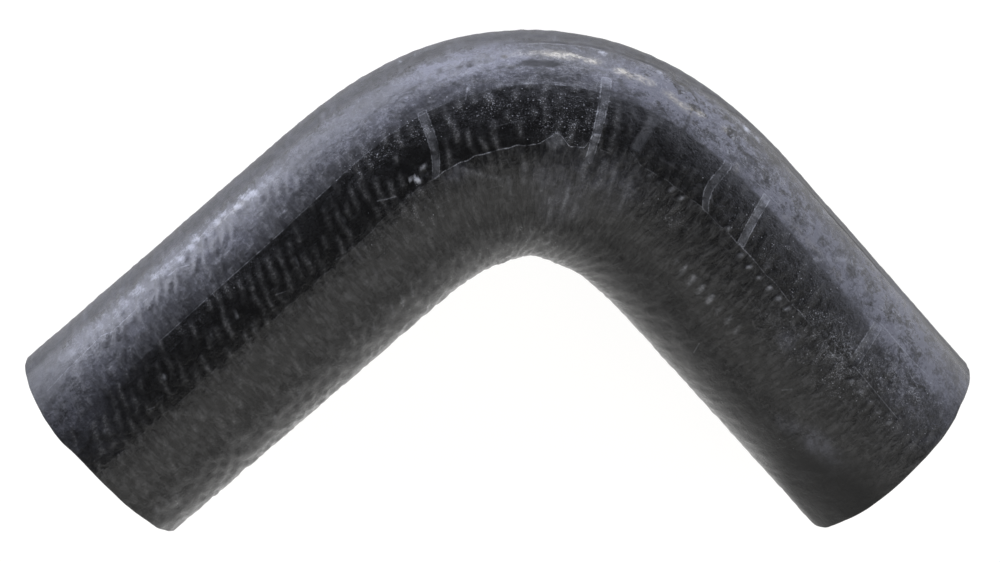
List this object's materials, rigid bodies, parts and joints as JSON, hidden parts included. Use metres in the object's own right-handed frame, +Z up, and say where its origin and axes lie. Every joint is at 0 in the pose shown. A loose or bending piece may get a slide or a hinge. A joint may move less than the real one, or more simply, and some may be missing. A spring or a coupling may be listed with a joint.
{
  "type": "coolant hose",
  "caption": "Moulded black rubber coolant hose with a right-angle bend, open at both ends, that carries coolant between a radiator and an engine.",
  "frame": {"origin": "on the floor under the middle of the hose's plan, with the hose lying on its side", "axes": "+Z up, square to the plane of the bend; the long leg points along -X from the bend and the short leg close to -Y"},
  "size_m": [0.151, 0.138, 0.048],
  "materials": {
    "hose_rubber": "matt black moulded rubber with fine wrap ripple and a grey bloom"
  },
  "bodies": {
    "root": {"hose_elbow": "hose_rubber"}
  },
  "joints": []
}
